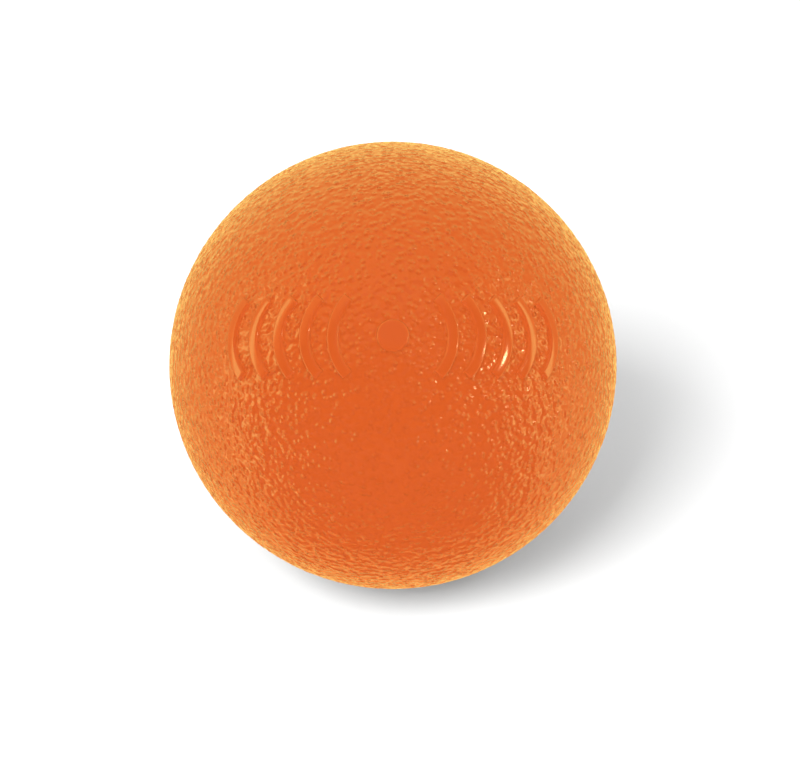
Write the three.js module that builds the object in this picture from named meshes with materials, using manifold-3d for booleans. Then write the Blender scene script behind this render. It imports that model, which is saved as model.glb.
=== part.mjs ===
// A hollow squeaking stress ball: two moulded rubber cups bonded at the equator around a
// reed squeaker that is snapped into a port at the bottom. Millimetres, +Z up. The origin is
// the middle of the flat ring that the ball stands on, and the viewer is at -Y.
import * as THREE from 'three';
import { mergeVertices } from 'three/addons/utils/BufferGeometryUtils.js';
import Module from 'manifold-3d';

const wasm = await Module();
wasm.setup();

// The ball and its wall.
const ballRadius = 38;
const wallThickness = 6;
const baseRingWidth = 2.3;

// The joint between the cups: a tongue on the upper cup, bonded into a groove.
const tongueWidth = 2;
const tongueHeight = 2.6;
const bondThickness = 0.6;
const jointClearance = 0.3;

// The squeaker port: a boss inside the lower cup, bored through and counterbored.
const bossWall = 5.4;
const bossHeight = 13.5;
const bossChamfer = 0.8;
const portBoreRadius = 5.1;
const portRecess = 0.9;

// The squeaker housing, which snaps into the port from below.
const fitClearance = 0.3;
const flangeOverlap = 1.3;
const flangeThickness = 1.3;
const housingWall = 1.2;
const housingFloor = 1.4;
const soundHoleRadius = 1.5;
const barbOverlap = 0.8;
const barbHeight = 0.9;
const barbTaper = 1.4;

// The reed unit inside the housing: sleeve, channel, reed and wedge.
const sleeveWall = 0.7;
const reedThickness = 0.3;
const reedSideMargin = 1;
const reedTipClearance = 0.5;
const reedStub = 0.5;
const reedGap = 0.3;
const clampHeight = 1.9;
const bridgeHeight = 0.9;
const channelGrooveWidth = 1.4;
const channelBackWall = 0.8;
const wedgeThickness = 0.95;

// The perforated cap on top of the housing.
const capThickness = 1;
const capRimDepth = 2.6;
const capHoleRadius = 0.5;
const capHoleCount = 6;

// The raised sound-wave marks on the front of the upper cup.
const markHeight = 12.4;
const markStroke = 1.7;
const markRelief = 0.6;
const markRoot = 1.2;
const markBend = 9;
const markDotRadius = 2.7;
const arcsPerSide = 5;
const firstArc = 9.4;
const arcPitch = 4.6;
const markTilt = 34.8;
const markLift = 4.5;

// How finely round shapes are divided.
const ballSegments = 48;
const arcSteps = 12;
const smallSegments = 24;

// Heights and radii that follow from the sizes above.
const flangeRadius = portBoreRadius + flangeOverlap;
const counterboreRadius = flangeRadius + fitClearance;
const baseRadius = counterboreRadius + baseRingWidth;
const bossRadius = portBoreRadius + bossWall;
const centreZ = Math.sqrt(ballRadius ** 2 - baseRadius ** 2);
const innerRadius = ballRadius - wallThickness;
const wallMiddle = ballRadius - wallThickness / 2;
const tongueInner = wallMiddle - tongueWidth / 2;
const tongueOuter = wallMiddle + tongueWidth / 2;
const grooveInner = tongueInner - jointClearance;
const grooveOuter = tongueOuter + jointClearance;
const tongueZ = centreZ - tongueHeight;
const grooveZ = tongueZ - bondThickness;
const flangeZ = portRecess + flangeThickness;
const housingRadius = portBoreRadius - fitClearance;
const housingBore = housingRadius - housingWall;
const floorZ = portRecess + housingFloor;
const barbZ = bossHeight + fitClearance;
const housingTop = barbZ + barbHeight + barbTaper;
const sleeveRadius = housingBore - fitClearance;
const sleeveBore = sleeveRadius - sleeveWall;
const sleeveTop = housingTop - capRimDepth;
const coreRadius = sleeveBore - fitClearance;
const coreTop = sleeveTop;
const coreBottom = floorZ + fitClearance;
const bridgeZ = coreTop - bridgeHeight;
const mouthZ = bridgeZ - clampHeight;
const pivotZ = mouthZ + reedStub;
const reedFace = reedThickness / 2;
const seatFace = reedFace + reedGap;
const reedHalfWidth = coreRadius - reedSideMargin;
const reedTipZ = floorZ + reedTipClearance;
const grooveBack = coreRadius - channelBackWall;

// Turns a closed outline of [radius, height] points about the Z axis.
function turned(outline, segments) {
  const points = outline.map(([r, z]) => new THREE.Vector2(r, z));
  const geometry = new THREE.LatheGeometry(points, segments);
  geometry.rotateX(Math.PI / 2);
  return geometry;
}

// Points on a circle about (0, z), from one polar angle to another, counted from the bottom.
function arcPoints(radius, z, from, to, steps) {
  const points = [];
  for (let i = 0; i <= steps; i += 1) {
    const angle = from + ((to - from) * i) / steps;
    points.push([radius * Math.sin(angle), z - radius * Math.cos(angle)]);
  }
  return points;
}

// A prism on a flat outline of [x, y] points, standing between two heights.
function prism(outline, bottom, top) {
  const shape = new THREE.Shape(outline.map(([x, y]) => new THREE.Vector2(x, y)));
  const geometry = new THREE.ExtrudeGeometry(shape, {
    depth: top - bottom,
    bevelEnabled: false,
  });
  geometry.translate(0, 0, bottom);
  return geometry;
}

// The part of a disc that lies between two lines of constant x, as [x, y] points.
function discSlice(radius, near, far, steps) {
  const start = Math.acos(near / radius);
  const end = far < radius ? Math.acos(far / radius) : 0;
  const points = [];
  for (let i = 0; i <= steps; i += 1) {
    const angle = -start + ((start - end) * i) / steps;
    points.push([radius * Math.cos(angle), radius * Math.sin(angle)]);
  }
  for (let i = end > 0 ? 0 : 1; i <= steps; i += 1) {
    const angle = end + ((start - end) * i) / steps;
    points.push([radius * Math.cos(angle), radius * Math.sin(angle)]);
  }
  return points;
}

// Makes a manifold solid from a closed three.js geometry.
function solid(geometry) {
  const bare = geometry.clone();
  bare.deleteAttribute('normal');
  bare.deleteAttribute('uv');
  const merged = mergeVertices(bare, 1e-4);
  const index = merged.index.array;
  const triangles = [];
  for (let i = 0; i < index.length; i += 3) {
    const [a, b, c] = [index[i], index[i + 1], index[i + 2]];
    if (a !== b && b !== c && c !== a) triangles.push(a, b, c);
  }
  return new wasm.Manifold(new wasm.Mesh({
    numProp: 3,
    vertProperties: new Float32Array(merged.attributes.position.array),
    triVerts: new Uint32Array(triangles),
  }));
}

// Turns a manifold solid back into a three.js geometry.
function geometryOf(manifold) {
  const mesh = manifold.getMesh();
  const geometry = new THREE.BufferGeometry();
  const position = new Float32Array(mesh.vertProperties);
  geometry.setAttribute('position', new THREE.BufferAttribute(position, 3));
  geometry.setIndex(new THREE.BufferAttribute(new Uint32Array(mesh.triVerts), 1));
  geometry.computeVertexNormals();
  return geometry;
}

const ball = new THREE.Group();

function addMesh(name, geometry, color, roughness, metalness) {
  const material = new THREE.MeshStandardMaterial({ color, roughness, metalness });
  const mesh = new THREE.Mesh(geometry, material);
  mesh.name = name;
  ball.add(mesh);
  return mesh;
}

// Lower cup: the shell from the flat base ring to the equator, with the groove in its edge
// and the port boss standing up inside.
const bossFoot = Math.asin(bossRadius / innerRadius);
const lowerCup = turned([
  [counterboreRadius, 0],
  ...arcPoints(ballRadius, centreZ, Math.asin(baseRadius / ballRadius), Math.PI / 2, arcSteps),
  [grooveOuter, centreZ],
  [grooveOuter, grooveZ],
  [grooveInner, grooveZ],
  [grooveInner, centreZ],
  ...arcPoints(innerRadius, centreZ, Math.PI / 2, bossFoot, arcSteps),
  [bossRadius, bossHeight - bossChamfer],
  [bossRadius - bossChamfer, bossHeight],
  [portBoreRadius, bossHeight],
  [portBoreRadius, flangeZ],
  [counterboreRadius, flangeZ],
  [counterboreRadius, 0],
], ballSegments);
addMesh('lower_cup', lowerCup, 0xe1642c, 0.38, 0);

// Upper cup: the shell above the equator, with the tongue under its edge.
const upperShell = turned([
  [0, centreZ + innerRadius],
  ...arcPoints(innerRadius, centreZ, Math.PI, Math.PI / 2, arcSteps).slice(1),
  [tongueInner, centreZ],
  [tongueInner, tongueZ],
  [tongueOuter, tongueZ],
  [tongueOuter, centreZ],
  ...arcPoints(ballRadius, centreZ, Math.PI / 2, Math.PI, arcSteps).slice(0, -1),
  [0, centreZ + ballRadius],
], ballSegments);

// Wraps a flat mark onto the ball: x is the distance along the row, y the height in the row
// and z the height above the ball's surface.
const tilt = THREE.MathUtils.degToRad(markTilt);
const facing = new THREE.Vector3(0, -Math.cos(tilt), Math.sin(tilt));
const upward = new THREE.Vector3(0, Math.sin(tilt), Math.cos(tilt));
const sideways = new THREE.Vector3(1, 0, 0);

function wrapped(flat) {
  const position = flat.attributes.position;
  const point = new THREE.Vector3();
  for (let i = 0; i < position.count; i += 1) {
    const along = position.getX(i) / ballRadius;
    const lift = THREE.MathUtils.degToRad(markLift) + position.getY(i) / ballRadius;
    const reach = ballRadius + position.getZ(i);
    point.set(0, 0, 0);
    point.addScaledVector(sideways, Math.cos(lift) * Math.sin(along));
    point.addScaledVector(upward, Math.sin(lift));
    point.addScaledVector(facing, Math.cos(lift) * Math.cos(along));
    point.multiplyScalar(reach);
    position.setXYZ(i, point.x, point.y, point.z + centreZ);
  }
  return flat;
}

function markSolid(outline) {
  return solid(wrapped(prism(outline, -markRoot, markRelief)));
}

// A bracket-shaped stroke at a distance along the row, bulging away from the middle.
function arcOutline(distance, side) {
  const half = Math.asin(markHeight / 2 / markBend);
  const steps = 8;
  const points = [];
  for (const [offset, from, to] of [[0.5, -half, half], [-0.5, half, -half]]) {
    const radius = markBend + offset * markStroke;
    for (let i = 0; i <= steps; i += 1) {
      const angle = from + ((to - from) * i) / steps;
      const x = distance - markBend + radius * Math.cos(angle);
      points.push([side * x, radius * Math.sin(angle)]);
    }
  }
  return side > 0 ? points : points.reverse();
}

let upperSolid = solid(upperShell);
const dotOutline = [];
for (let i = 0; i < 16; i += 1) {
  const angle = (i / 16) * 2 * Math.PI;
  dotOutline.push([markDotRadius * Math.cos(angle), markDotRadius * Math.sin(angle)]);
}
upperSolid = upperSolid.add(markSolid(dotOutline));
for (let i = 0; i < arcsPerSide; i += 1) {
  for (const side of [-1, 1]) {
    const distance = firstArc + i * arcPitch;
    upperSolid = upperSolid.add(markSolid(arcOutline(distance, side)));
  }
}
addMesh('upper_cup', geometryOf(upperSolid), 0xe1642c, 0.38, 0);

// Seam bond: the bead of adhesive under the tongue.
addMesh('seam_bond', turned([
  [grooveInner, grooveZ],
  [grooveOuter, grooveZ],
  [grooveOuter, tongueZ],
  [grooveInner, tongueZ],
  [grooveInner, grooveZ],
], ballSegments), 0xd9a878, 0.3, 0);

// Squeaker housing: a thimble with a flange below the port, a sound hole in its floor and a
// barb above the boss.
addMesh('squeaker_housing', turned([
  [soundHoleRadius, portRecess],
  [flangeRadius, portRecess],
  [flangeRadius, flangeZ],
  [housingRadius, flangeZ],
  [housingRadius, barbZ],
  [housingRadius + barbOverlap, barbZ],
  [housingRadius + barbOverlap, barbZ + barbHeight],
  [housingRadius, housingTop],
  [housingBore, housingTop],
  [housingBore, floorZ],
  [soundHoleRadius, floorZ],
  [soundHoleRadius, portRecess],
], smallSegments), 0xf0ede4, 0.35, 0);

// Reed sleeve: the tube that holds the reed unit together, standing on the housing's floor.
addMesh('reed_sleeve', turned([
  [sleeveBore, floorZ],
  [sleeveRadius, floorZ],
  [sleeveRadius, sleeveTop],
  [sleeveBore, sleeveTop],
  [sleeveBore, floorZ],
], smallSegments), 0xd8dcdc, 0.3, 0);

// Reed channel: a half-round block with an air groove facing the reed. It reaches the wedge
// above the reed's end.
const channelBody = solid(prism(discSlice(coreRadius, seatFace, coreRadius, 6), coreBottom, bridgeZ));
const channelBridge = solid(prism(discSlice(coreRadius, 0, coreRadius, 6), bridgeZ, coreTop));
const grooveHalf = channelGrooveWidth / 2;
const channelGroove = solid(prism([
  [0, -grooveHalf],
  [grooveBack, -grooveHalf],
  [grooveBack, grooveHalf],
  [0, grooveHalf],
], coreBottom - 1, mouthZ));
addMesh(
  'reed_channel',
  geometryOf(channelBody.add(channelBridge).subtract(channelGroove)),
  0xf4f4f0, 0.4, 0,
);

// Reed: a thin strip that hangs from the clamp and flutters over the groove.
addMesh('reed', prism([
  [-reedFace, -reedHalfWidth],
  [reedFace, -reedHalfWidth],
  [reedFace, reedHalfWidth],
  [-reedFace, reedHalfWidth],
], reedTipZ, pivotZ + reedStub), 0xc9a24a, 0.25, 1);

// Reed wedge: holds the top of the reed against the channel, and leaves an air way behind it.
const wedgeBack = -seatFace - wedgeThickness;
const wedgeBody = discSlice(coreRadius, wedgeBack, -seatFace, 4);
const wedgeBridge = discSlice(coreRadius, wedgeBack, 0, 4);
addMesh(
  'reed_wedge',
  geometryOf(solid(prism(wedgeBody, mouthZ, bridgeZ)).add(solid(prism(wedgeBridge, bridgeZ, coreTop)))),
  0xf4f4f0, 0.4, 0,
);

// Squeaker cap: a perforated plate on the housing, with a rim that holds the sleeve down.
let cap = solid(turned([
  [0, housingTop],
  [sleeveBore, housingTop],
  [sleeveBore, sleeveTop],
  [sleeveRadius, sleeveTop],
  [sleeveRadius, housingTop],
  [housingRadius, housingTop],
  [housingRadius, housingTop + capThickness],
  [0, housingTop + capThickness],
], smallSegments));
const holeCircle = sleeveBore - 2 * capHoleRadius;
for (let i = 0; i < capHoleCount; i += 1) {
  const angle = (i / capHoleCount) * 2 * Math.PI;
  const hole = new THREE.CylinderGeometry(capHoleRadius, capHoleRadius, 4 * capThickness, 12);
  hole.rotateX(Math.PI / 2);
  hole.translate(holeCircle * Math.cos(angle), holeCircle * Math.sin(angle), housingTop);
  cap = cap.subtract(solid(hole));
}
addMesh('squeaker_cap', geometryOf(cap), 0xf0ede4, 0.35, 0);

export default ball;
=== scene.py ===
# A soft moulded rubber ball that squeaks when it is squeezed. Two cups are bonded at the
# equator around a reed squeaker, which is snapped into a port in the base. Metres, +Z up.
import math

import bpy
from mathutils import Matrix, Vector


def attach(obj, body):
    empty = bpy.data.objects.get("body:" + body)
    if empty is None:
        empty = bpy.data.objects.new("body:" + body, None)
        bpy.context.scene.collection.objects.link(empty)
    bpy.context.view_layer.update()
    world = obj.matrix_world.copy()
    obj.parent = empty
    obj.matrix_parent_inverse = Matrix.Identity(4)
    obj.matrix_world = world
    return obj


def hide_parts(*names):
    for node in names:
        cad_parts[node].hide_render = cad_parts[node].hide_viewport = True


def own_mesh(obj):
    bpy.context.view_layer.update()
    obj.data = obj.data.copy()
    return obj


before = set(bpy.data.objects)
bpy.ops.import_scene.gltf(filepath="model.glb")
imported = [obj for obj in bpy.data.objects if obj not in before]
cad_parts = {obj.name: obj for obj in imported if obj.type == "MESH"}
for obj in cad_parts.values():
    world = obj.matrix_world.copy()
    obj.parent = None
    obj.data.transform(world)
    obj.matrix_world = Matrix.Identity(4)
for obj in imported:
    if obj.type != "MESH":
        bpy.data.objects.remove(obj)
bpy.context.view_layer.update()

# ---------------------------------------------------------------------------
# Camera. A long lens looks down at the ball from the front, with the ball's
# centre a little left of and above the middle of the frame.
ball_radius = 0.038
base_radius = 0.009
ball_centre = Vector((0, 0, math.sqrt(ball_radius**2 - base_radius**2)))
camera_elevation = math.radians(32.3)
camera_distance = 0.3797
toward_camera = Vector((0, -math.cos(camera_elevation), math.sin(camera_elevation)))
camera_up = Vector((0, math.sin(camera_elevation), math.cos(camera_elevation)))

bpy.ops.object.camera_add(location=ball_centre + toward_camera * camera_distance)
camera = bpy.context.object
camera.name = "camera"
camera.data.lens = 100
camera.data.sensor_width = 36
camera.data.clip_start = 0.01
camera.data.clip_end = 20
aim = ball_centre + Vector((0.0012, 0, 0)) - camera_up * 0.00342
camera.rotation_mode = "QUATERNION"
camera.rotation_quaternion = (aim - camera.location).to_track_quat("-Z", "Y")
bpy.context.scene.camera = camera

# ---------------------------------------------------------------------------
# Upper cup: the top half of the hollow ball, moulded in soft orange rubber with an
# orange-peel grain and a row of raised, smooth sound-wave marks on the front. A
# tongue under its edge is bonded into the lower cup.
wall = 0.006
inner_radius = ball_radius - wall
seam_z = ball_centre.z
grain_cell = 0.00098
ripple_cell = 0.00105
ripple_share = 0.45
grain_depth = 0.00005
fine_grain_depth = 0.00016
tongue_inner = 0.034
tongue_outer = 0.036
tongue_height = 0.0026
mark_height = 0.0124
mark_stroke = 0.0022
mark_round = 0.00025
mark_draft = 0.0003
mark_relief = 0.0006
mark_root = 0.0003
mark_bend = 0.009
mark_dot_radius = 0.0027
first_arc = 0.0094
arc_pitch = 0.0046
mark_tilt = math.radians(34.8)
marks_a_side = 5
mark_bands = 30
core_overrun = 0.002
ring_overrun = 0.001
core_steps = 96
ring_steps = 128
sliver_width = 0.000004
mark_lift = math.radians(4.5)


def start_fresh():
    """Leaves edit mode and deselects everything."""
    if bpy.context.object and bpy.context.object.mode != "OBJECT":
        bpy.ops.object.mode_set(mode="OBJECT")
    bpy.ops.object.select_all(action="DESELECT")


def only(piece):
    """Makes one piece the selected and active object."""
    start_fresh()
    piece.select_set(True)
    bpy.context.view_layer.objects.active = piece


def bake_place(piece, name):
    """Names a piece and moves its place, turn and size into its mesh."""
    only(piece)
    piece.name = name
    piece.data.name = name
    bpy.ops.object.transform_apply(location=True, rotation=True, scale=True)
    return piece


def apply_modifier(piece, kind, **settings):
    """Adds a modifier with these settings and applies it."""
    only(piece)
    modifier = piece.modifiers.new(kind.lower(), kind)
    for key, value in settings.items():
        setattr(modifier, key, value)
    bpy.ops.object.modifier_apply(modifier=modifier.name)


def combine(piece, tool, operation):
    """Joins a tool solid to a piece or cuts it out, and removes the tool."""
    apply_modifier(piece, "BOOLEAN", object=tool, operation=operation, solver="MANIFOLD")
    bpy.data.objects.remove(tool, do_unlink=True)


def clear_slivers(piece):
    """Closes up the hair-thin faces that cutting and joining leave."""
    only(piece)
    bpy.ops.object.mode_set(mode="EDIT")
    bpy.ops.mesh.select_all(action="SELECT")
    bpy.ops.mesh.remove_doubles(threshold=sliver_width)
    bpy.ops.mesh.select_all(action="SELECT")
    bpy.ops.mesh.quads_convert_to_tris(ngon_method="BEAUTY")
    bpy.ops.mesh.dissolve_degenerate(threshold=sliver_width)
    bpy.ops.object.mode_set(mode="OBJECT")


def turned(name, outline, steps):
    """Spins a closed outline of (radius, height) points once about the Z axis."""
    start_fresh()
    bpy.ops.mesh.primitive_circle_add(vertices=len(outline), radius=0.01)
    piece = bpy.context.object
    for vertex, (radius, height) in zip(piece.data.vertices, outline):
        vertex.co = (radius, 0, height)
    bpy.ops.object.mode_set(mode="EDIT")
    bpy.ops.mesh.select_all(action="SELECT")
    bpy.ops.mesh.spin(steps=steps, angle=2 * math.pi, center=(0, 0, 0), axis=(0, 0, 1))
    bpy.ops.mesh.select_all(action="SELECT")
    bpy.ops.mesh.remove_doubles(threshold=0.000002)
    bpy.ops.mesh.normals_make_consistent(inside=False)
    bpy.ops.object.mode_set(mode="OBJECT")
    return bake_place(piece, name)


def dome(radius, start, end, steps):
    """Points on a circle about the ball's centre, with angles from the bottom pole."""
    points = []
    for i in range(steps + 1):
        angle = start + (end - start) * i / steps
        points.append((radius * math.sin(angle), seam_z - radius * math.cos(angle)))
    return points


def grain_height(nodes, link, place):
    """Adds the moulded grain to a node tree: low round pimples with a ripple over them."""
    cells = nodes.new("ShaderNodeTexVoronoi")
    cells.inputs["Scale"].default_value = 1 / grain_cell
    pimple = nodes.new("ShaderNodeMapRange")
    pimple.interpolation_type = "SMOOTHSTEP"
    pimple.inputs["From Min"].default_value = 0.05
    pimple.inputs["From Max"].default_value = 0.58
    pimple.inputs["To Min"].default_value = 1
    pimple.inputs["To Max"].default_value = 0
    ripple = nodes.new("ShaderNodeTexNoise")
    ripple.inputs["Scale"].default_value = 1 / ripple_cell
    ripple.inputs["Detail"].default_value = 0
    sway = nodes.new("ShaderNodeMapRange")
    sway.inputs["From Min"].default_value = 0.25
    sway.inputs["From Max"].default_value = 0.75
    sway.inputs["To Min"].default_value = -ripple_share
    sway.inputs["To Max"].default_value = ripple_share
    total = nodes.new("ShaderNodeMath")
    link(place, cells.inputs["Vector"])
    link(place, ripple.inputs["Vector"])
    link(cells.outputs["Distance"], pimple.inputs["Value"])
    link(ripple.outputs[0], sway.inputs["Value"])
    link(pimple.outputs[0], total.inputs[0])
    link(sway.outputs[0], total.inputs[1])
    return total.outputs[0]


def grain_modifier():
    """A geometry node group that raises the skin by the moulded grain."""
    tree = bpy.data.node_groups.new("moulded_grain", "GeometryNodeTree")
    tree.interface.new_socket("Geometry", in_out="INPUT", socket_type="NodeSocketGeometry")
    tree.interface.new_socket("Geometry", in_out="OUTPUT", socket_type="NodeSocketGeometry")
    link = tree.links.new
    inlet = tree.nodes.new("NodeGroupInput")
    outlet = tree.nodes.new("NodeGroupOutput")
    place = tree.nodes.new("GeometryNodeInputPosition")
    facing = tree.nodes.new("GeometryNodeInputNormal")
    depth = tree.nodes.new("ShaderNodeMath")
    depth.operation = "MULTIPLY"
    depth.inputs[1].default_value = grain_depth
    push = tree.nodes.new("ShaderNodeVectorMath")
    push.operation = "SCALE"
    move = tree.nodes.new("GeometryNodeSetPosition")
    link(grain_height(tree.nodes, link, place.outputs[0]), depth.inputs[0])
    link(facing.outputs[0], push.inputs[0])
    link(depth.outputs[0], push.inputs["Scale"])
    link(inlet.outputs[0], move.inputs["Geometry"])
    link(push.outputs[0], move.inputs["Offset"])
    link(move.outputs[0], outlet.inputs[0])
    return tree


skin_grain = grain_modifier()


def grained_half(name, keep_upper):
    """Half of the grained ball, closed by a flat face at the seam."""
    start_fresh()
    bpy.ops.mesh.primitive_ico_sphere_add(subdivisions=8, radius=ball_radius, location=ball_centre)
    piece = bake_place(bpy.context.object, name)
    bpy.ops.object.shade_smooth()
    apply_modifier(piece, "NODES", node_group=skin_grain)
    only(piece)
    bpy.ops.object.mode_set(mode="EDIT")
    bpy.ops.mesh.select_all(action="SELECT")
    bpy.ops.mesh.bisect(
        plane_co=ball_centre,
        plane_no=(0, 0, 1),
        use_fill=True,
        clear_inner=keep_upper,
        clear_outer=not keep_upper,
    )
    bpy.ops.object.mode_set(mode="OBJECT")
    return piece


mark_facing = Vector((0, -math.cos(mark_tilt), math.sin(mark_tilt)))
mark_up = Vector((0, math.sin(mark_tilt), math.cos(mark_tilt)))


def wrap_on_ball(x, y, height):
    """A point of the flat row of marks, taken onto the ball."""
    along = x / ball_radius
    lift = mark_lift + y / ball_radius
    sideways = Vector((math.cos(lift) * math.sin(along), 0, 0))
    outward = mark_up * math.sin(lift) + mark_facing * math.cos(lift) * math.cos(along)
    return ball_centre + (sideways + outward) * (ball_radius + height)


def draft_mark(piece, inset):
    """Slopes the sides of a mark in towards its face and rounds the face's edge."""
    only(piece)
    for polygon in piece.data.polygons:
        polygon.select = polygon.normal.z > 0.9
    for edge in piece.data.edges:
        edge.select = False
    for vertex in piece.data.vertices:
        vertex.select = vertex.co.z > 0
    width = piece.dimensions.x
    length = piece.dimensions.y
    bpy.ops.object.mode_set(mode="EDIT")
    bpy.ops.mesh.select_mode(type="VERT")
    bpy.ops.transform.resize(value=(1 - 2 * inset / width, 1 - 2 * inset / length, 1))
    bpy.ops.object.mode_set(mode="OBJECT")
    apply_modifier(
        piece,
        "BEVEL",
        width=mark_round,
        segments=5,
        limit_method="ANGLE",
        angle_limit=math.radians(30),
    )


def wave_mark(distance, side):
    """One raised stroke, curved like a bracket and bulging away from the middle dot."""
    half_angle = math.asin(mark_height / 2 / mark_bend)
    start_fresh()
    bpy.ops.mesh.primitive_cube_add(size=1)
    piece = bpy.context.object
    piece.scale = (mark_stroke, 2 * half_angle * mark_bend, mark_relief + mark_root)
    piece.location = (0, 0, (mark_relief - mark_root) / 2)
    bake_place(piece, "wave_mark")
    draft_mark(piece, mark_draft)
    bpy.ops.object.mode_set(mode="EDIT")
    for i in range(1, mark_bands):
        cut = (2 * i / mark_bands - 1) * half_angle * mark_bend
        bpy.ops.mesh.select_all(action="SELECT")
        bpy.ops.mesh.bisect(plane_co=(0, cut, 0), plane_no=(0, 1, 0))
    bpy.ops.object.mode_set(mode="OBJECT")
    for vertex in piece.data.vertices:
        angle = vertex.co.y / mark_bend
        radius = mark_bend + vertex.co.x
        x = distance - mark_bend + radius * math.cos(angle)
        vertex.co = wrap_on_ball(side * x, radius * math.sin(angle), vertex.co.z)
    only(piece)
    bpy.ops.object.mode_set(mode="EDIT")
    bpy.ops.mesh.select_all(action="SELECT")
    bpy.ops.mesh.normals_make_consistent(inside=False)
    bpy.ops.object.mode_set(mode="OBJECT")
    return piece


def dot_mark():
    """The raised dot in the middle of the row."""
    start_fresh()
    bpy.ops.mesh.primitive_cylinder_add(
        vertices=64,
        radius=mark_dot_radius,
        depth=mark_relief + mark_root,
        location=(0, 0, (mark_relief - mark_root) / 2),
    )
    piece = bake_place(bpy.context.object, "dot_mark")
    draft_mark(piece, mark_draft)
    for vertex in piece.data.vertices:
        vertex.co = wrap_on_ball(*vertex.co)
    return piece


upper_cup = grained_half("upper_cup_skin", True)
upper_core = turned(
    "upper_core",
    [(0.0, seam_z - core_overrun), (inner_radius, seam_z - core_overrun)]
    + dome(inner_radius, math.pi / 2, math.pi, 32)[:-1]
    + [(0.0, seam_z + inner_radius)],
    core_steps,
)
combine(upper_cup, upper_core, "DIFFERENCE")
upper_tongue = turned(
    "upper_tongue",
    [
        (tongue_inner, seam_z - tongue_height),
        (tongue_outer, seam_z - tongue_height),
        (tongue_outer, seam_z + ring_overrun),
        (tongue_inner, seam_z + ring_overrun),
    ],
    ring_steps,
)
combine(upper_cup, upper_tongue, "UNION")
combine(upper_cup, dot_mark(), "UNION")
for place in range(marks_a_side):
    for side in (-1, 1):
        combine(upper_cup, wave_mark(first_arc + place * arc_pitch, side), "UNION")

clear_slivers(upper_cup)
bpy.ops.object.shade_smooth_by_angle(angle=math.radians(38))


def keep_rest_place(piece):
    """Stores where the skin is at rest, so that its grain stays on it in a squeeze."""
    places = piece.data.attributes.new("rest_place", "FLOAT_VECTOR", "POINT")
    for vertex, place in zip(piece.data.vertices, places.data):
        place.vector = vertex.co


def shader(name):
    """A new material with its Principled shader and a way to add and link nodes."""
    material = bpy.data.materials.new(name)
    material.use_nodes = True
    nodes = material.node_tree.nodes
    return material, nodes["Principled BSDF"], nodes, material.node_tree.links.new


def moulded_grain_group():
    """The ball's grain as a height that is zero on its marks and inside it."""
    group = bpy.data.node_groups.new("skin_grain", "ShaderNodeTree")
    group.interface.new_socket("Height", in_out="OUTPUT", socket_type="NodeSocketFloat")
    nodes = group.nodes
    link = group.links.new
    outlet = nodes.new("NodeGroupOutput")
    place = nodes.new("ShaderNodeAttribute")
    place.attribute_name = "rest_place"
    arm = nodes.new("ShaderNodeVectorMath")
    arm.operation = "SUBTRACT"
    arm.inputs[1].default_value = ball_centre
    reach = nodes.new("ShaderNodeVectorMath")
    reach.operation = "LENGTH"
    off_marks = nodes.new("ShaderNodeMapRange")
    off_marks.inputs["From Min"].default_value = ball_radius + 0.00015
    off_marks.inputs["From Max"].default_value = ball_radius + 0.0003
    off_marks.inputs["To Min"].default_value = 1
    off_marks.inputs["To Max"].default_value = 0
    off_wall = nodes.new("ShaderNodeMapRange")
    off_wall.inputs["From Min"].default_value = ball_radius - 0.0006
    off_wall.inputs["From Max"].default_value = ball_radius - 0.0003
    skin = nodes.new("ShaderNodeMath")
    skin.operation = "MULTIPLY"
    masked = nodes.new("ShaderNodeMath")
    masked.operation = "MULTIPLY"
    link(place.outputs["Vector"], arm.inputs[0])
    link(arm.outputs[0], reach.inputs[0])
    link(reach.outputs["Value"], off_marks.inputs["Value"])
    link(reach.outputs["Value"], off_wall.inputs["Value"])
    link(off_marks.outputs[0], skin.inputs[0])
    link(off_wall.outputs[0], skin.inputs[1])
    link(grain_height(nodes, link, place.outputs["Vector"]), masked.inputs[0])
    link(skin.outputs[0], masked.inputs[1])
    link(masked.outputs[0], outlet.inputs["Height"])
    return group


grain_group = moulded_grain_group()


def orange_rubber():
    """Soft orange rubber with the moulded grain, and painted shade that makes it slightly darker
    in the grain's hollows.
    """
    material, surface, nodes, link = shader("orange_rubber")
    surface.inputs["Roughness"].default_value = 0.13
    surface.inputs["Specular IOR Level"].default_value = 1.0
    surface.inputs["Sheen Weight"].default_value = 0.07
    surface.inputs["Sheen Roughness"].default_value = 0.35
    surface.inputs["Sheen Tint"].default_value = (0.95, 0.9, 0.3, 1)
    grain = nodes.new("ShaderNodeGroup")
    grain.node_tree = grain_group
    # Painted shade: the grain's height lightens the base colour a little on the pimples and
    # darkens it in the hollows. Marks and the inside take the darker end.
    tone = nodes.new("ShaderNodeValToRGB")
    tone.color_ramp.elements[0].position = 0.0
    tone.color_ramp.elements[0].color = (0.705, 0.108, 0.0155, 1)
    tone.color_ramp.elements[1].position = 0.9
    tone.color_ramp.elements[1].color = (0.72, 0.114, 0.0165, 1)
    bump = nodes.new("ShaderNodeBump")
    bump.inputs["Strength"].default_value = 1
    bump.inputs["Distance"].default_value = fine_grain_depth
    link(grain.outputs["Height"], tone.inputs["Fac"])
    link(tone.outputs["Color"], surface.inputs["Base Color"])
    link(grain.outputs["Height"], bump.inputs["Height"])
    link(bump.outputs["Normal"], surface.inputs["Normal"])
    return material


rubber = orange_rubber()
upper_cup.data.materials.clear()
upper_cup.data.materials.append(rubber)
keep_rest_place(upper_cup)
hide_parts("upper_cup")
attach(upper_cup, "crown")
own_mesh(upper_cup)

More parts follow.
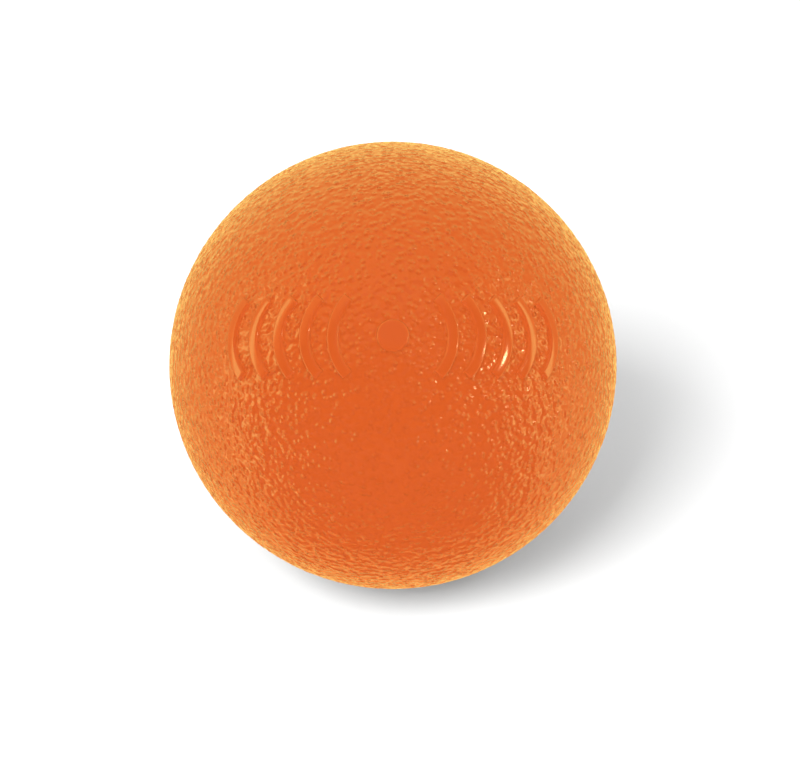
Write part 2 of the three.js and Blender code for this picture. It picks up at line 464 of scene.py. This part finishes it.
# ---------------------------------------------------------------------------
# Lower cup: the bottom half, moulded in the same rubber. It stands on a small
# flat ring around the squeaker port. A boss inside holds the squeaker.
boss_radius = 0.0105
boss_height = 0.0135
port_radius = 0.0051
counterbore_radius = 0.0067
counterbore_depth = 0.0022
groove_gap = 0.0003
groove_inner = tongue_inner - groove_gap
groove_outer = tongue_outer + groove_gap
groove_depth = 0.0032
boss_edge = 0.0008
port_edge = 0.0004

lower_cup = grained_half("lower_cup_skin", False)
boss_foot = math.asin(boss_radius / inner_radius)
lower_core = turned(
    "lower_core",
    [(0.0, seam_z + core_overrun), (0.0, boss_height), (boss_radius - boss_edge, boss_height)]
    + [(boss_radius, boss_height - boss_edge)]
    + dome(inner_radius, boss_foot, math.pi / 2, 32)
    + [(inner_radius, seam_z + core_overrun)],
    core_steps,
)
combine(lower_cup, lower_core, "DIFFERENCE")
groove = turned(
    "groove",
    [
        (groove_inner, seam_z - groove_depth),
        (groove_outer, seam_z - groove_depth),
        (groove_outer, seam_z + ring_overrun),
        (groove_inner, seam_z + ring_overrun),
    ],
    ring_steps,
)
combine(lower_cup, groove, "DIFFERENCE")
foot_cut = turned("foot_cut", [(0.0, -0.01), (0.03, -0.01), (0.03, 0.0), (0.0, 0.0)], 64)
combine(lower_cup, foot_cut, "DIFFERENCE")
port = turned(
    "port",
    [
        (0.0, -0.005),
        (counterbore_radius + port_edge, -0.005),
        (counterbore_radius + port_edge, 0.0),
        (counterbore_radius, port_edge),
        (counterbore_radius, counterbore_depth),
        (port_radius, counterbore_depth),
        (port_radius, boss_height + core_overrun),
        (0.0, boss_height + core_overrun),
    ],
    core_steps,
)
combine(lower_cup, port, "DIFFERENCE")
clear_slivers(lower_cup)
bpy.ops.object.shade_smooth_by_angle(angle=math.radians(50))
lower_cup.data.materials.clear()
lower_cup.data.materials.append(rubber)
keep_rest_place(lower_cup)
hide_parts("lower_cup")
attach(lower_cup, "base")
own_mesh(lower_cup)

# ---------------------------------------------------------------------------
# Seam bond: the bead of clear amber adhesive in the groove of the lower cup.
# The tongue presses it flat, and it squeezes up a little on both sides.
bond_gap = 0.0006
bond_rise = 0.0004
bond_edge = 0.0001
bond_floor = seam_z - groove_depth
bond_top = bond_floor + bond_gap
seam_bond = turned(
    "seam_bond_bead",
    [
        (groove_inner, bond_floor),
        (groove_outer, bond_floor),
        (groove_outer, bond_top + bond_rise),
        (tongue_outer + bond_edge, bond_top),
        (tongue_inner - bond_edge, bond_top),
        (groove_inner, bond_top + bond_rise),
    ],
    ring_steps,
)
bpy.ops.object.shade_smooth_by_angle(angle=math.radians(35))


def mottle_group():
    """Slow and fine unevenness in a moulded or cast surface, as two values from 0 to 1."""
    group = bpy.data.node_groups.new("mottle", "ShaderNodeTree")
    group.interface.new_socket("Cell", in_out="INPUT", socket_type="NodeSocketFloat")
    group.interface.new_socket("Slow", in_out="OUTPUT", socket_type="NodeSocketFloat")
    group.interface.new_socket("Fine", in_out="OUTPUT", socket_type="NodeSocketFloat")
    inlet = group.nodes.new("NodeGroupInput")
    outlet = group.nodes.new("NodeGroupOutput")
    place = group.nodes.new("ShaderNodeTexCoord")
    scale = group.nodes.new("ShaderNodeMath")
    scale.operation = "DIVIDE"
    scale.inputs[0].default_value = 1
    group.links.new(inlet.outputs["Cell"], scale.inputs[1])
    for name, detail in (("Slow", 1), ("Fine", 6)):
        noise = group.nodes.new("ShaderNodeTexNoise")
        noise.inputs["Detail"].default_value = detail
        group.links.new(place.outputs["Object"], noise.inputs["Vector"])
        group.links.new(scale.outputs[0], noise.inputs["Scale"])
        group.links.new(noise.outputs[0], outlet.inputs[name])
    return group


mottle = mottle_group()


def mottled(name, dark, light, smooth, dull, cell, bump_depth):
    """A material whose colour, gloss and surface vary slowly, as moulded plastic's do."""
    material, surface, nodes, link = shader(name)
    uneven = nodes.new("ShaderNodeGroup")
    uneven.node_tree = mottle
    uneven.inputs["Cell"].default_value = cell
    tone = nodes.new("ShaderNodeValToRGB")
    tone.color_ramp.elements[0].position = 0.3
    tone.color_ramp.elements[0].color = (*dark, 1)
    tone.color_ramp.elements[1].position = 0.7
    tone.color_ramp.elements[1].color = (*light, 1)
    gloss = nodes.new("ShaderNodeMapRange")
    gloss.inputs["From Min"].default_value = 0.3
    gloss.inputs["From Max"].default_value = 0.7
    gloss.inputs["To Min"].default_value = smooth
    gloss.inputs["To Max"].default_value = dull
    bump = nodes.new("ShaderNodeBump")
    bump.inputs["Distance"].default_value = bump_depth
    link(uneven.outputs["Slow"], tone.inputs["Fac"])
    link(uneven.outputs["Fine"], gloss.inputs["Value"])
    link(uneven.outputs["Fine"], bump.inputs["Height"])
    link(tone.outputs["Color"], surface.inputs["Base Color"])
    link(gloss.outputs[0], surface.inputs["Roughness"])
    link(bump.outputs["Normal"], surface.inputs["Normal"])
    return material, surface


adhesive, adhesive_surface = mottled(
    "amber_adhesive", (0.62, 0.34, 0.15), (0.74, 0.43, 0.22), 0.12, 0.3, 0.004, 0.00005
)
adhesive_surface.inputs["Subsurface Weight"].default_value = 0.2
adhesive_surface.inputs["Subsurface Scale"].default_value = 0.0005
seam_bond.data.materials.clear()
seam_bond.data.materials.append(adhesive)
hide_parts("seam_bond")
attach(seam_bond, "base")
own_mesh(seam_bond)

# ---------------------------------------------------------------------------
# Squeaker housing: a thimble of ivory plastic. Its flange sits in the port of
# the base, a barb grips the boss inside, and the sound leaves by the hole in
# its floor.
port_recess = 0.0009
flange_radius = 0.0064
flange_top = 0.0022
housing_radius = 0.0048
housing_bore = 0.0036
housing_floor = 0.0023
housing_top = 0.0161
sound_hole = 0.0015
barb_radius = 0.0056
barb_low = 0.0138
barb_high = 0.0147
hole_edge = 0.0003
ring_mark_depth = 0.0002

housing = turned(
    "squeaker_housing_shell",
    [
        (sound_hole, port_recess + hole_edge),
        (sound_hole + hole_edge, port_recess),
        (flange_radius - 0.0018, port_recess),
        (flange_radius - 0.0016, port_recess + ring_mark_depth),
        (flange_radius - 0.0011, port_recess + ring_mark_depth),
        (flange_radius - 0.0009, port_recess),
        (flange_radius, port_recess),
        (flange_radius, flange_top),
        (housing_radius, flange_top),
        (housing_radius, barb_low),
        (barb_radius, barb_low),
        (barb_radius, barb_high),
        (housing_radius, housing_top),
        (housing_bore, housing_top),
        (housing_bore, housing_floor),
        (sound_hole, housing_floor),
    ],
    core_steps,
)
apply_modifier(
    housing, "BEVEL", width=0.00012, segments=2, limit_method="ANGLE", angle_limit=math.radians(50)
)
only(housing)
bpy.ops.object.shade_smooth_by_angle(angle=math.radians(35))
ivory = mottled(
    "ivory_plastic", (0.82, 0.78, 0.68), (0.88, 0.85, 0.77), 0.2, 0.34, 0.003, 0.00002
)[0]
housing.data.materials.clear()
housing.data.materials.append(ivory)
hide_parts("squeaker_housing")
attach(housing, "base")

# ---------------------------------------------------------------------------
# Squeaker cap: a perforated plate of the same plastic on top of the housing.
# Its rim goes down the bore and holds the reed unit on the housing's floor.
cap_top = 0.0171
rim_outer = 0.0033
rim_inner = 0.0026
rim_bottom = 0.0135
cap_edge = 0.0003
cap_holes = 6
cap_hole = 0.0005
cap_hole_circle = 0.0016

cap = turned(
    "squeaker_cap_plate",
    [
        (0.0, housing_top),
        (rim_inner, housing_top),
        (rim_inner, rim_bottom),
        (rim_outer, rim_bottom),
        (rim_outer, housing_top),
        (housing_radius, housing_top),
        (housing_radius, cap_top - cap_edge),
        (housing_radius - cap_edge, cap_top),
        (0.0, cap_top),
    ],
    core_steps,
)
for place in range(cap_holes):
    angle = place * math.pi / 3
    hole_x = cap_hole_circle * math.cos(angle)
    hole_y = cap_hole_circle * math.sin(angle)
    start_fresh()
    bpy.ops.mesh.primitive_cylinder_add(
        vertices=32, radius=cap_hole, depth=0.003, location=(hole_x, hole_y, housing_top)
    )
    combine(cap, bake_place(bpy.context.object, "cap_hole"), "DIFFERENCE")
clear_slivers(cap)
bpy.ops.object.shade_smooth_by_angle(angle=math.radians(35))
cap.data.materials.clear()
cap.data.materials.append(ivory)
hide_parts("squeaker_cap")
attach(cap, "base")

# ---------------------------------------------------------------------------
# Reed unit: a clear-grey sleeve around a white half-round channel, a wedge and
# a thin brass reed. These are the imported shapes, and they only get a finish.
sleeve_plastic = mottled(
    "sleeve_plastic", (0.70, 0.74, 0.74), (0.78, 0.81, 0.80), 0.12, 0.24, 0.004, 0.00001
)[0]
reed_plastic = mottled(
    "reed_plastic", (0.84, 0.85, 0.82), (0.90, 0.90, 0.87), 0.25, 0.4, 0.002, 0.00001
)[0]


def rolled_brass():
    """Thin rolled brass, with fine lines along the strip and a slight tarnish."""
    material, surface = mottled(
        "rolled_brass", (0.55, 0.34, 0.09), (0.78, 0.55, 0.2), 0.18, 0.36, 0.0015, 0.000005
    )
    surface.inputs["Metallic"].default_value = 1
    nodes = material.node_tree.nodes
    link = material.node_tree.links.new
    place = nodes.new("ShaderNodeTexCoord")
    stretch = nodes.new("ShaderNodeMapping")
    stretch.inputs["Scale"].default_value = (9000, 9000, 250)
    lines = nodes.new("ShaderNodeTexNoise")
    lines.inputs["Scale"].default_value = 1
    bump = nodes["Bump"]
    link(place.outputs["Object"], stretch.inputs["Vector"])
    link(stretch.outputs["Vector"], lines.inputs["Vector"])
    link(lines.outputs[0], bump.inputs["Height"])
    return material


finishes = {
    "reed_sleeve": sleeve_plastic,
    "reed_channel": reed_plastic,
    "reed_wedge": reed_plastic,
    "reed": rolled_brass(),
}
for node_name, finish in finishes.items():
    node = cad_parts[node_name]
    if not node.material_slots:
        node.data.materials.append(finish)
    for slot in node.material_slots:
        slot.material = finish

# ---------------------------------------------------------------------------
# Floor and light: a plain pale floor with a soft key light from the front left, a
# fill and a softbox overhead. The ball has its own softbox and a small glint lamp,
# and in its gloss a warm room that is bright behind it and dark on the camera's side.
start_fresh()
bpy.ops.mesh.primitive_plane_add(size=2)
floor = bpy.context.object
floor.name = "floor"
paper, paper_surface = shader("white_floor")[:2]
paper_surface.inputs["Base Color"].default_value = (0.4, 0.4, 0.4, 1)
paper_surface.inputs["Roughness"].default_value = 0.9
paper_surface.inputs["Specular IOR Level"].default_value = 0.0
floor.data.materials.append(paper)


def softbox(name, azimuth, elevation, distance, size, power):
    """A square light aimed at the ball. Azimuth 0 is the camera's side, and + is right."""
    az, el = math.radians(azimuth), math.radians(elevation)
    away = Vector((math.sin(az) * math.cos(el), -math.cos(az) * math.cos(el), math.sin(el)))
    bpy.ops.object.light_add(type="AREA", location=ball_centre + away * distance)
    lamp = bpy.context.object
    lamp.name = name
    lamp.data.size = size
    lamp.data.energy = power
    lamp.rotation_mode = "QUATERNION"
    lamp.rotation_quaternion = (-away).to_track_quat("-Z", "Y")
    return lamp


key_light = softbox("key_light", -35, 40, 2.5, 1.4, 200)
fill_light = softbox("fill_light", 90, 35, 2.5, 1.5, 46)
sky_light = softbox("sky_light", 0, 90, 1.2, 3, 30)
lit_floor = bpy.data.collections.new("floor_only")
lit_floor.objects.link(floor)
for lamp in (key_light, fill_light, sky_light):
    lamp.light_linking.receiver_collection = lit_floor
    lamp.data.cycles.use_multiple_importance_sampling = False
floor.visible_glossy = False
for piece in (upper_cup, lower_cup):
    piece.visible_diffuse = False

top_light = softbox("top_light", 0, 60, 0.9, 0.8, 5)
lit_ball = bpy.data.collections.new("lit_from_above")
for piece in (upper_cup, lower_cup):
    lit_ball.objects.link(piece)
top_light.visible_glossy = False
glint_light = softbox("glint_light", 60, 22, 1.0, 0.085, 0.85)
glint_light.data.color = (1.0, 0.68, 0.34)
glint_light.visible_diffuse = False
for lamp in (top_light, glint_light):
    lamp.light_linking.receiver_collection = lit_ball


def studio_room():
    """Plain white to the camera and grey to the floor, and a shaped warm room in the gloss."""
    room = bpy.data.worlds.new("room")
    room.use_nodes = True
    nodes = room.node_tree.nodes
    link = room.node_tree.links.new
    direction = nodes.new("ShaderNodeTexCoord")

    def along(vector):
        """How far a direction points along a vector."""
        dot = nodes.new("ShaderNodeVectorMath")
        dot.operation = "DOT_PRODUCT"
        dot.inputs[1].default_value = vector
        link(direction.outputs["Generated"], dot.inputs[0])
        return dot.outputs["Value"]

    def ramp(value, low, high, at_low, at_high, kind="LINEAR"):
        """Goes from one level to another as the value goes from low to high."""
        change = nodes.new("ShaderNodeMapRange")
        change.interpolation_type = kind
        for socket, number in zip(change.inputs[1:5], (low, high, at_low, at_high)):
            socket.default_value = number
        link(value, change.inputs["Value"])
        return change.outputs[0]

    def reckon(operation, first, second):
        """Adds or multiplies two values."""
        node = nodes.new("ShaderNodeMath")
        node.operation = operation
        link(first, node.inputs[0])
        link(second, node.inputs[1])
        return node.outputs[0]

    drop, swing = math.radians(12), math.radians(7)
    camera_side = along(
        (math.sin(swing) * math.cos(drop), -math.cos(swing) * math.cos(drop), -math.sin(drop))
    )
    shade = ramp(camera_side, 0.10, 0.34, 1, 0, "SMOOTHSTEP")
    depth = ramp(along((0, 1, 0)), 0, 1, 0.42, 1.3)
    floor_side = ramp(along((0, 0, 1)), -1, 0, 0.9, 1)
    upper_right = ramp(along((0.66, 0, 0.75)), 0.2, 0.9, 1, 0.78)
    level = reckon("MULTIPLY", reckon("MULTIPLY", depth, floor_side), shade)
    level = reckon("MULTIPLY", level, upper_right)
    across = nodes.new("ShaderNodeMath")
    across.operation = "ABSOLUTE"
    link(along((1, 0, 0)), across.inputs[0])
    across = across.outputs[0]
    turn = reckon("DIVIDE", along((0, -1, 0)), across)
    near_edge = ramp(turn, 0.0, 0.08, 0, 1, "SMOOTHSTEP")
    far_edge = ramp(turn, 0.20, 0.28, 1, 0, "SMOOTHSTEP")
    ends = ramp(across, 0.62, 0.76, 0, 2.2, "SMOOTHSTEP")
    level = reckon("ADD", level, reckon("MULTIPLY", reckon("MULTIPLY", near_edge, far_edge), ends))
    tint = nodes.new("ShaderNodeValToRGB")
    stops = tint.color_ramp.elements
    stops[0].color = (0, 0, 0, 1)
    stops[1].color = (2.1, 2.2, 0.7, 1)
    for position, color in ((0.19, (0.92, 0.42, 0.11, 1)), (0.585, (1.75, 1.3, 0.36, 1))):
        stops.new(position).color = color
    share = nodes.new("ShaderNodeMath")
    share.operation = "MULTIPLY"
    share.inputs[1].default_value = 0.45
    link(level, share.inputs[0])
    link(share.outputs[0], tint.inputs["Fac"])
    path = nodes.new("ShaderNodeLightPath")
    mix = nodes.new("ShaderNodeMix")
    mix.data_type = "RGBA"
    mix.inputs[6].default_value = (0.5, 0.5, 0.5, 1)
    link(tint.outputs["Color"], mix.inputs[7])
    link(path.outputs["Is Glossy Ray"], mix.inputs[0])
    seen = nodes.new("ShaderNodeMix")
    seen.data_type = "RGBA"
    seen.inputs[7].default_value = (1, 1, 1, 1)
    link(path.outputs["Is Camera Ray"], seen.inputs[0])
    link(mix.outputs[2], seen.inputs[6])
    link(seen.outputs[2], nodes["Background"].inputs["Color"])
    return room


bpy.context.scene.world = studio_room()
bpy.context.scene.view_settings.view_transform = "Standard"
